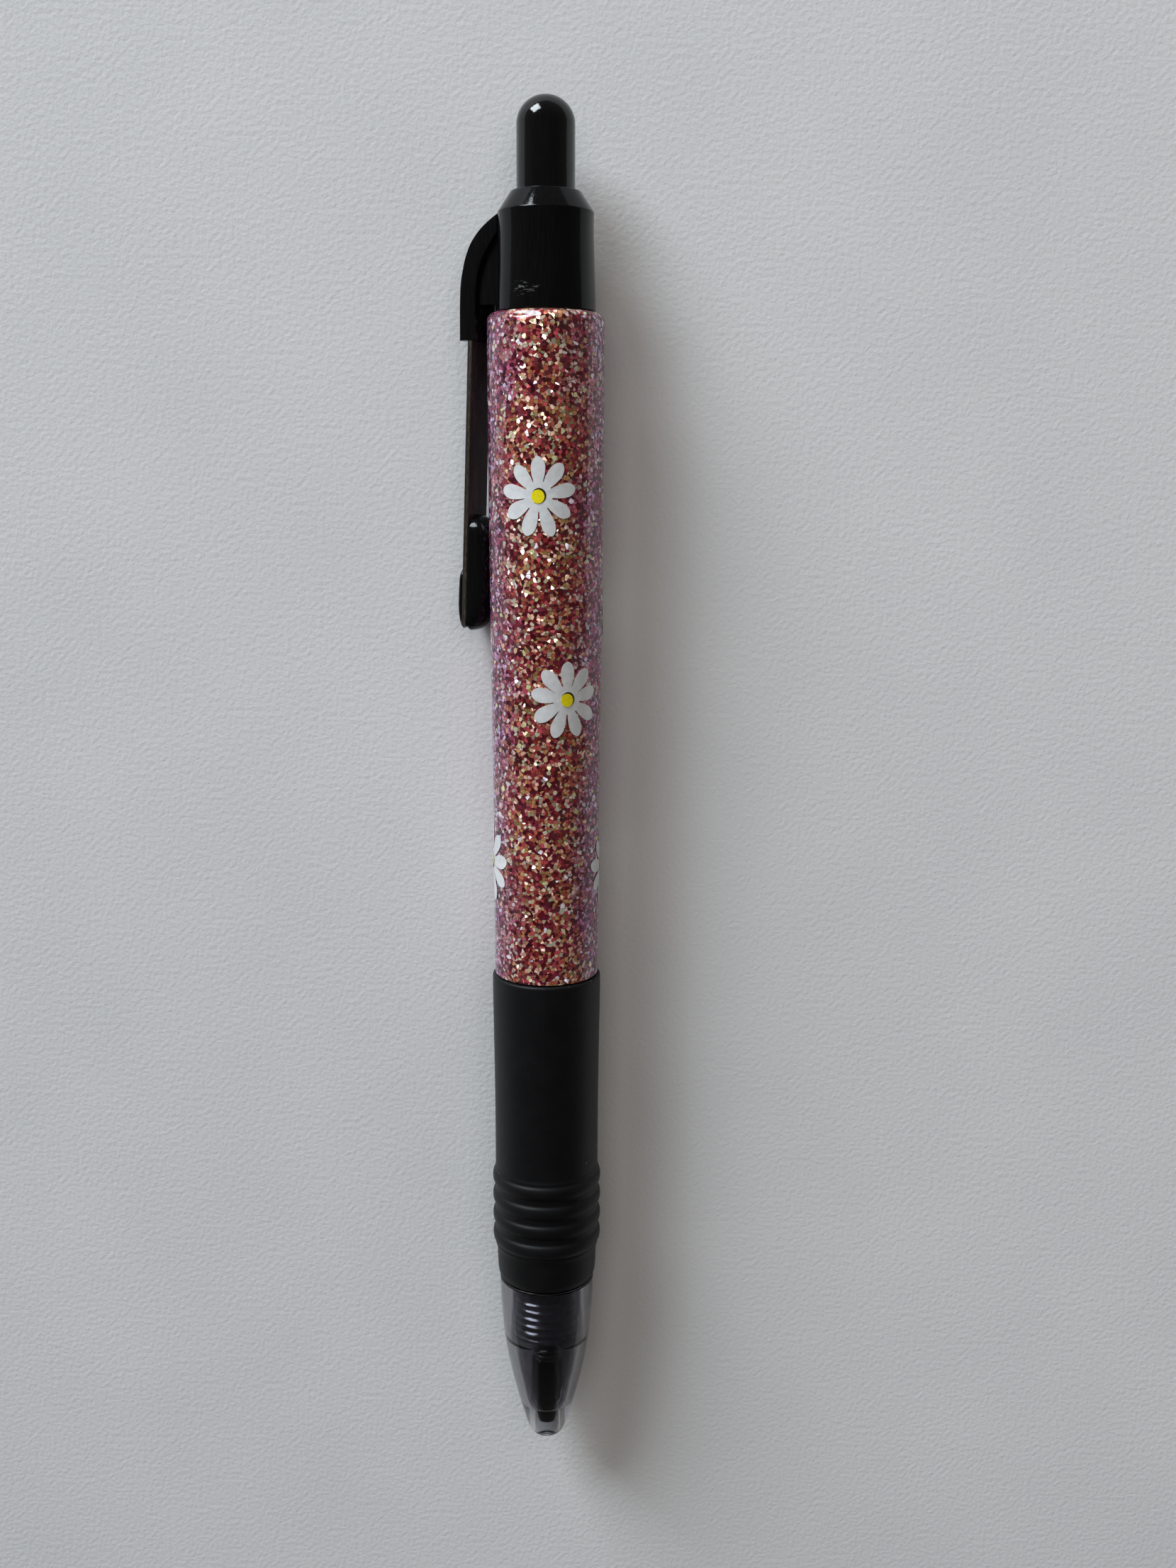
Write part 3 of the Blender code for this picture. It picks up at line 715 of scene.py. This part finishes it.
def make_cap():
    """The cap, the curved arm beside it and the web under the arm: one moulding."""
    gloss = black_gloss("cap_gloss", 0.24, scuffed=True)
    outer = [(3.25, 135.0, 0.06), (3.53, 134.93, 0.1), (4.8, 132.98, 0.09), (4.77, 132.4, 0.2),
             (4.76, 131.4), (4.78, 130.2), (4.82, 129.0), (4.87, 127.6), (4.92, 126.3),
             (4.97, 125.0), (5.0, 123.54, 0.1)]
    inner = [(3.95, 123.54), (3.95, 132.6), (3.2, 132.6), (3.2, 134.8, 0.08)]
    cap = lathe("clip_cap_body", soften(outer + inner, True), gloss, steps=192, ring=True)
    place_piece(cap, "barrel", "black_gloss", "clip_cap")
    curve = [(4.3, 132.95), (4.9, 132.6), (5.49, 132.2), (6.25, 131.6), (6.78, 131.05),
             (7.35, 130.3), (7.76, 129.5), (8.08, 128.65), (8.30, 127.75), (8.5, 126.8),
             (8.62, 125.6), (8.68, 123.6), (8.71, 120.9)]
    under = [(6.9, 120.9), (6.89, 123.2), (6.86, 124.95), (6.72, 126.5), (6.47, 127.6),
             (6.16, 128.5), (5.75, 129.25), (5.27, 129.95), (4.75, 130.65), (4.3, 131.2)]
    arm_gloss = black_gloss("arm_gloss")
    arm = slab("clip_arm", flow(curve) + flow(under), ARM_HALF_WIDTH, 0.12, arm_gloss)
    place_piece(arm, "barrel", "black_gloss", "clip_cap")
    gusset = [(4.4, 124.3), (7.2, 124.3), (7.1, 126.5), (6.6, 128.3), (5.9, 129.7),
              (5.0, 130.9), (4.4, 131.3)]
    web = slab("clip_web", gusset, WEB_HALF_WIDTH, 0.1, arm_gloss)
    place_piece(web, "barrel", "black_gloss", "clip_cap")


def make_strip():
    """The flat spring strip: coated faces, with bare metal along its cut corners."""
    across, thick, cut = STRIP_HALF_WIDTH, STRIP_HALF_THICK, STRIP_CUT
    section = [(-thick, -across + cut), (-thick, across - cut), (-thick + cut, across),
               (0.0, across), (thick - cut, across), (thick, across - cut),
               (thick, -across + cut), (thick - cut, -across), (0.0, -across),
               (-thick + cut, -across)]
    rows = []
    for along in (1.0, -0.001):
        rows.append([(inward, side * STRIP_TAB, along) for inward, side in section])
    for i in range(13):
        rows.append([(inward, side, -0.002 - STRIP_LENGTH * i / 12)
                     for inward, side in section])
    materials = [strip_coating(), metal("cut_edge", (0.13, 0.115, 0.085), (0.30, 0.27, 0.20),
                                        0.35)]
    strip = loft("clip_strip_skin", rows, materials, strip_spot,
                 lambda i: int(i in CUT_SIDES), STRIP_SHARP_EDGE)
    place_piece(strip, "clip", "strip_metal", "clip_strip")


def pod(rows, base, lean, shape):
    """Half a rounded bar on the strip, rounder at its ends: rows of (along, depth, half)."""
    loops = []
    widest = max(half for _, _, half in rows)
    for along, depth, half in rows:
        loop = []
        power = 1 - POD_SQUARENESS * (half / widest) ** 2
        for i in range(POD_POINTS):
            turn = math.pi * i / (POD_POINTS - 1) - math.pi / 2
            reach = abs(math.cos(turn)) ** power * depth
            side = math.copysign(abs(math.sin(turn)) ** power, math.sin(turn)) * half
            loop.append(shape.verts.new(strip_spot(base + lean * reach, side, along)))
        loops.append(loop)
    for near, far in zip(loops, loops[1:]):
        for i in range(POD_POINTS):
            j = (i + 1) % POD_POINTS
            shape.faces.new((near[i], near[j], far[j], far[i]))
    shape.faces.new(loops[0])
    shape.faces.new(loops[-1])


def dome_rows(top, drops, plan, side, depth):
    """Rows of an end that is round in plan and from the side, at drops below its top."""
    rows = []
    for drop in drops:
        wide = math.sqrt(1 - (1 - min(1.0, drop / plan)) ** 2)
        deep = math.sqrt(1 - (1 - min(1.0, drop / side)) ** 2)
        rows.append((top - drop, depth * deep, wide))
    return rows


def make_pad():
    """The moulded end: a thick inner body and a thin outer shell round the strip's end."""
    shape = bmesh.new()
    half = STRIP_HALF_WIDTH + 0.03
    inner = dome_rows(-17.45, [0.03, 0.12, 0.3, 0.55, 0.85, 1.2, 1.6, 2.0], 2.0, 1.9, 2.1)
    outer = dome_rows(-22.5, [0.03, 0.1, 0.25, 0.5, 0.8, 1.2, 1.7], 1.8, 1.6, 0.62)
    for rows, base, lean in ((inner + PAD_INNER, 0.27, 1), (outer + PAD_OUTER, -0.27, -1),
                             (PAD_FOOT, -0.38, 1)):
        pod([(along, depth, wide * half) for along, depth, wide in rows], base, lean, shape)
    pad = finish_mesh("clip_pad_skin", shape, [black_gloss("pad_gloss", 0.22)])
    merge = pad.modifiers.new("Merge", "REMESH")
    merge.mode = "VOXEL"
    merge.voxel_size = PAD_VOXEL * MM
    ease = pad.modifiers.new("Ease", "SMOOTH")
    ease.factor = 0.5
    ease.iterations = 4
    bake(pad)
    place_piece(pad, "clip", "black_satin", "clip_pad")


def bake(obj):
    """Apply an object's modifiers to its mesh."""
    bpy.context.view_layer.update()
    graph = bpy.context.evaluated_depsgraph_get()
    mesh = bpy.data.meshes.new_from_object(obj.evaluated_get(graph))
    materials = list(obj.data.materials)
    obj.modifiers.clear()
    obj.data = mesh
    mesh.materials.clear()
    for material in materials:
        mesh.materials.append(material)
    mesh.shade_smooth()


def resin_radius(height):
    """The sleeve's radius at a height, for laying films on it."""
    for (high_r, high), (low_r, low) in zip(RESIN_PROFILE, RESIN_PROFILE[1:]):
        if low <= height <= high:
            return low_r + (high_r - low_r) * (height - low) / (high - low)
    return RESIN_PROFILE[0][0]


def resin_swell(radius, height, angle):
    """The poured skin is never quite even, and its shoulder has one shallow dip."""
    if radius < 5.2:  # the bore stays round
        return 0
    point = Vector((5.5 * math.sin(angle), height, 5.5 * math.cos(angle)))
    uneven = 0.02 * noise.noise(point * 0.55) + 0.012 * noise.noise(point * 1.7)
    aside = math.remainder(angle - DIP_ANGLE, 2 * math.pi)
    dip = (math.exp(-(aside / DIP_TURN) ** 2)
           * math.exp(-((height - DIP_HEIGHT) / DIP_REACH) ** 2))
    return uneven - DIP_DEPTH * dip


def make_resin():
    turns = [math.pi / 2 * i / 10 for i in range(11)]
    shoulder = [(SLEEVE_R - SHOULDER * (1 - math.sin(turn)),
                 SLEEVE_TOP - SHOULDER * (1 - math.cos(turn))) for turn in turns]
    lower = [(5.51, SLEEVE_FOOT, 0.12), (SLEEVE_BORE, SLEEVE_FOOT), (SLEEVE_BORE, SLEEVE_TOP)]
    profile = soften(shoulder + flow(RESIN_PROFILE, 12) + lower, True)
    sleeve = lathe("glitter_sleeve", profile, glitter_resin(), steps=224, ring=True,
                   swell=resin_swell)
    place_piece(sleeve, "barrel", "glitter_resin", "resin_sleeve")


def petal_outline(rng):
    """Polar outline of a daisy: nine rounded petals, each a little different."""
    outline = []
    for petal in range(PETALS):
        middle = 2 * math.pi * petal / PETALS + rng.uniform(-0.03, 0.03)
        length = PETAL_LENGTH * rng.uniform(0.93, 1.03)
        width = rng.uniform(0.94, 1.02)
        left = [(reach * length / PETAL_LENGTH, -side * width) for reach, side in PETAL_HALF]
        right = [(reach, -side) for reach, side in reversed(left)]
        for reach, side in left + [(length, 0)] + right:
            turn = middle + math.atan2(side, reach)
            outline.append((math.hypot(reach, side), turn))
    return outline


def wrapped(height, middle, lift):
    """Lay flat (along, across) points on the sleeve round a point."""
    radius = resin_radius(height) + lift

    def place(across, along):
        return spot(radius, height + along, middle + across / radius)
    return place


def plaque(name, outline, shares, material, where, film_size, shift=(0, 0)):
    """A thin film wrapped on the sleeve: rings of a polar outline, skinned on both faces."""
    shape = bmesh.new()
    faces = []
    lift, thick = film_size
    for level in (lift, lift + thick):
        place = wrapped(*where, level)
        heart = shape.verts.new(place(*shift))
        rows = []
        for share in shares:
            points = [(shift[0] + r * share * math.sin(turn),
                       shift[1] + DAISY_STRETCH * r * share * math.cos(turn))
                      for r, turn in outline]
            rows.append([shape.verts.new(place(*point)) for point in points])
        for i in range(len(outline)):
            j = (i + 1) % len(outline)
            shape.faces.new((heart, rows[0][i], rows[0][j]))
            for near, far in zip(rows, rows[1:]):
                shape.faces.new((near[i], near[j], far[j], far[i]))
        faces.append(rows[-1])
    for i in range(len(outline)):
        j = (i + 1) % len(outline)
        shape.faces.new((faces[0][i], faces[0][j], faces[1][j], faces[1][i]))
    return finish_mesh(name, shape, [material])


def make_daisies():
    white = petal_white()
    yellow = film("daisy_yellow", (0.97, 0.77, 0.003), (1.0, 0.90, 0.008))
    # The dark film is painted shadow round each eye.
    dark = film("daisy_shadow", (0.015, 0.012, 0.008), (0.04, 0.03, 0.015))
    turns = [2 * math.pi * i / 40 for i in range(40)]
    rng = random.Random(7)
    for number, (height, degrees) in enumerate(DAISIES, 1):
        where = (height, math.radians(degrees))
        flower = plaque(f"daisy_{number}_flower", petal_outline(rng),
                        (0.12, 0.3, 0.45, 0.6, 0.8, 1.0), white, where, FLOWER_FILM)
        place_piece(flower, "barrel", "daisy_white", f"daisy_{number}_petals")
        shade = plaque(f"daisy_{number}_painted_shadow", [(EYE_SHADOW_R, turn) for turn in turns], (0.5, 1.0),
                       dark, where, EYE_SHADOW_FILM, EYE_SHADOW_SHIFT)
        place_piece(shade, "barrel", "daisy_yellow", f"daisy_{number}_centre")
        disc = plaque(f"daisy_{number}_eye", [(EYE_R, turn) for turn in turns],
                      (0.5, 0.94, 1.0), yellow, where, EYE_FILM, EYE_SHIFT)
        place_piece(disc, "barrel", "daisy_yellow", f"daisy_{number}_centre")


def grip_swell(radius, height, angle):
    """A parting line along the grip, strongest at its upper end."""
    if radius < 5.0 or height < SEAM_FOOT:  # the bore and the ridges have none
        return 0
    near = math.exp(-(math.sin(angle / 2) * 2 * radius / SEAM_HALF_WIDTH) ** 2)
    return SEAM_RISE * near * min(1.0, (height - SEAM_FOOT) / 20)


def ridge_rows():
    """The grip's ridges as profile points, from the top one down."""
    rows = []
    for i in range(RIDGES):
        crest = RIDGE_TOP - i * RIDGE_PITCH
        for step in range(21):
            shift = (1 - step / 10) * RIDGE_PITCH / 2
            rise = max(0.0, 1 - abs(shift / RIDGE_HALF_WIDTH) ** 2) ** 0.5
            rows.append((RIDGE_ROOT + RIDGE_RISE * rise, crest + shift))
    return rows


def make_grip():
    top = [(GRIP_BORE, GRIP_TOP), (5.5, GRIP_TOP, 0.06), (5.8, GRIP_TOP - 0.1, 0.25)]
    body = flow([(5.8, 54.2), (5.8, 52.5), (5.74, 48.5), (5.69, 44.4), (5.65, 40.3),
                 (5.64, 36.0), (5.64, 32.75)], 6)
    tail = flow([(5.66, 23.7), (5.56, 23.35), (5.5, 22.9), (5.47, 22.0), (5.44, 21.1),
                 (5.38, 20.4), (5.25, 19.95)], 5)
    lip = [(5.12, GRIP_FOOT + 0.04), (4.95, GRIP_FOOT, 0.05), (GRIP_BORE, GRIP_FOOT)]
    profile = soften(top + body + ridge_rows() + tail + lip, True)
    grip = lathe("rubber_grip", profile, grip_rubber(), steps=240, ring=True,
                 swell=grip_swell)
    place_piece(grip, "barrel", "grip_rubber", "grip_sleeve")


def make_nose():
    """The nose cone, with the guide tube standing inside it."""
    guide = [(1.36, 0.0, 0.08), (1.2, 0.0, 0.06), (1.2, 9.5, 0.05), (1.7, 9.5, 0.08),
             (1.75, 6.0, 0.5), (1.85, 4.3, 0.4), (2.0, 3.8, 0.15), (2.28, 4.7, 0.3),
             (2.65, 6.3, 0.5), (3.1, 8.2, 0.5), (3.5, 10.3, 0.5), (3.8, 12.1, 0.2),
             (3.97, 12.5, 0.1), (3.97, 19.55, 0.1), (5.1, 19.55, 0.1)]
    profile = flow(NOSE_PROFILE, 6) + soften(guide, True)
    nose = lathe("smoke_nose", profile, smoke_plastic(), steps=200, ring=True)
    place_piece(nose, "nose", "smoke_plastic", "nose_cone")


def thread_swell(radius, height, angle):
    """A helical ridge on the neck, fading out at its top."""
    if abs(radius - NECK_R) > 0.001 or height > THREAD_TOP + THREAD_FADE:
        return 0
    phase = ((height - THREAD_TOP) / THREAD_PITCH + 0.5 + angle / (2 * math.pi)) % 1.0
    ridge = math.cos(min(1.0, abs(phase - 0.5) / THREAD_HALF_TURN) * math.pi / 2) ** 2
    fade = min(1.0, (THREAD_TOP + THREAD_FADE - height) / 0.3)
    return (THREAD_R - NECK_R) * ridge * max(0.0, fade)


def make_barrel():
    upper = [(4.6, SLEEVE_TOP), (4.6, 54.95), (4.35, 54.9), (4.35, 19.75, 0.1)]
    shoulder = [(3.7, 19.75), (NECK_R, 19.65, 0.1), (NECK_R, 18.6)]
    reach = THREAD_START - THREAD_END - 0.35
    threaded = [(NECK_R, THREAD_START - reach * i / THREAD_ROWS)
                for i in range(THREAD_ROWS + 1)]
    end = [(THREAD_R, 13.3, 0.1), (THREAD_R, 12.95, 0.1), (3.5, NECK_END, 0.05),
           (2.22, NECK_END, 0.05), (2.22, 23.6), (3.3, 24.0), (3.3, 100.0), (3.95, 100.6),
           (3.95, SLEEVE_TOP)]
    profile = soften(upper + shoulder + threaded + end, True)
    barrel = lathe("barrel_shell", profile, barrel_plastic(), steps=128, ring=True,
                   swell=thread_swell)
    place_piece(barrel, "barrel", "black_satin", "barrel_tube")


def make_refill():
    """The adaptor, the metal point and the wax over the point's end."""
    stem = [(2.3, 37.0), (2.3, 33.0), (2.95, 33.0, 0.1), (2.95, 29.5, 0.1), (1.32, 29.5, 0.05),
            (1.32, 15.2, 0.1), (1.16, 15.2), (1.16, 20.2), (0.6, 20.2), (0.6, 37.0)]
    adaptor = lathe("refill_stem", soften(stem, True), satin_black("stem_black"), steps=64,
                    ring=True)
    place_piece(adaptor, "refill", "clear_plastic", "refill_adaptor")
    point = [(1.05, 20.0), (1.05, 10.6, 0.1), (0.98, 10.4, 0.1), (0.98, 4.9, 0.2), (0.55, 2.5),
             (0.5, 2.3, 0.03), (0.36, 2.3), (0.36, 3.0), (0.2, 3.2), (0.2, 20.0)]
    turned = metal("turned_point", (0.10, 0.085, 0.07), (0.26, 0.23, 0.19), 0.22,
                   (0.5, 8.0, 0.5))
    tip = lathe("refill_nib", soften(point, True), turned, steps=64, ring=True)
    place_piece(tip, "refill", "nickel_silver", "refill_point")
    bead = [(0, 2.03), (0.6, 2.08), (0.66, 2.5), (1.01, 4.5), (1.04, 4.5, 0.03),
            (1.02, 3.3, 0.3), (0.84, 2.2, 0.25), (0.66, 1.87, 0.15), (0, 1.85)]
    wax = moulded("seal_wax", (0.006, 0.0055, 0.005), (0.014, 0.012, 0.01), 0.3)
    seal = lathe("wax_seal", soften(bead, False), wax, steps=64)
    place_piece(seal, "refill", "seal_wax", "tip_seal")


def coil_height(turn):
    """Height of the wire's middle after some turns: close at both ends and open between."""
    open_pitch = (SPRING_HEAD - SPRING_FOOT - 2 * CLOSED_TURNS * CLOSED_PITCH) / OPEN_TURNS
    low = min(turn, CLOSED_TURNS)
    middle = min(max(turn - CLOSED_TURNS, 0), OPEN_TURNS)
    high = max(turn - CLOSED_TURNS - OPEN_TURNS, 0)
    return SPRING_FOOT + (low + high) * CLOSED_PITCH + middle * open_pitch


def make_spring():
    """The coil as a swept wire, from its foot to its head."""
    per_turn, sides = 40, 12
    turns = OPEN_TURNS + 2 * CLOSED_TURNS
    rows = []
    for i in range(int(turns * per_turn) + 1):
        turn = i / per_turn
        height = coil_height(turn)
        row = []
        for k in range(sides):
            a = 2 * math.pi * k / sides
            row.append((SPRING_R + WIRE_R * math.cos(a), height + WIRE_R * math.sin(a),
                        2 * math.pi * turn))
        rows.append(row)
    steel = metal("spring_steel", (0.42, 0.42, 0.43), (0.66, 0.66, 0.67), 0.2)
    spring = loft("return_coil", rows, [steel], spot)
    place_piece(spring, "barrel", "spring_steel", "return_spring")
    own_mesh(spring)


def dress_hidden_parts():
    """CAD nodes whose shape is right keep it, and get a proper material."""
    acetal = moulded("acetal", (0.66, 0.66, 0.63), (0.78, 0.78, 0.75), 0.4)
    dressed = {
        "cam_guide": acetal, "rotor_cam": acetal, "refill_tail_plug": acetal,
        "refill_tube": clear_plastic(),
        "refill_ink": moulded("gel_ink", (0.004, 0.004, 0.006), (0.01, 0.01, 0.013), 0.25),
        "refill_follower": film("grease", (0.5, 0.46, 0.36), (0.62, 0.58, 0.46), 0.15),
        "writing_ball": metal("ball_carbide", (0.3, 0.3, 0.31), (0.5, 0.5, 0.51), 0.12),
    }
    for name, material in dressed.items():
        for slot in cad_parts[name].material_slots:
            slot.link = "OBJECT"
            slot.material = material


# ---------------------------------------------------------------- stage

def make_floor():
    shape = bmesh.new()
    bmesh.ops.create_grid(shape, x_segments=2, y_segments=2, size=2.0)
    floor = finish_mesh("floor", shape, [paper()])
    floor.location = (0, 0, -FLOOR_DROP * MM)


def area_light(name, direction, metres, size, watts, colour, seen=True):
    """A soft light. One that is not seen makes no reflection and doesn't show through plastic."""
    data = bpy.data.lights.new(name, "AREA")
    data.shape = "RECTANGLE"
    data.size, data.size_y = size
    data.energy = watts
    data.color = colour
    light = bpy.data.objects.new(name, data)
    bpy.context.scene.collection.objects.link(light)
    towards = Vector(direction).normalized()
    light.location = towards * metres
    light.rotation_euler = towards.to_track_quat("Z", "Y").to_euler()
    light.visible_glossy = seen
    light.visible_transmission = seen


def make_lights():
    area_light("window", WINDOW_FROM, WINDOW_METRES, WINDOW_SIZE, WINDOW_WATTS, WINDOW_COLOUR)
    area_light("ceiling", CEILING_FROM, CEILING_METRES, CEILING_SIZE, CEILING_WATTS,
               CEILING_COLOUR, seen=False)


def make_room():
    """A dim room all round, darker overhead."""
    world = bpy.data.worlds.new("room")
    bpy.context.scene.world = world
    world.use_nodes = True
    tree = world.node_tree
    up = add(tree, "ShaderNodeTexCoord").outputs["Generated"]
    height = add(tree, "ShaderNodeSeparateXYZ", {0: up}).outputs[2]
    background = tree.nodes["Background"]
    tree.links.new(mottle(tree, height, ROOM_LOW, ROOM_HIGH, 0.0, 0.75),
                   background.inputs["Color"])
    background.inputs["Strength"].default_value = 1.0


def make_camera():
    data = bpy.data.cameras.new("camera")
    data.lens = CAMERA_LENS
    data.sensor_width = 36.0
    data.clip_start = 0.005
    camera = bpy.data.objects.new("camera", data)
    bpy.context.scene.collection.objects.link(camera)
    offset = Vector(CAMERA_OFFSET) * MM
    camera.location = (AXIS_X + offset.x, offset.y, AXIS_Z + offset.z)
    camera.rotation_euler = (CAMERA_TILT, 0, CAMERA_ROLL)
    bpy.context.scene.camera = camera


make_camera()
make_lights()
make_room()
make_floor()
make_button()
make_cap()
make_strip()
make_pad()
make_resin()
make_daisies()
make_grip()
make_nose()
make_barrel()
make_refill()
make_spring()
dress_hidden_parts()
bpy.context.scene.view_settings.view_transform = "Standard"
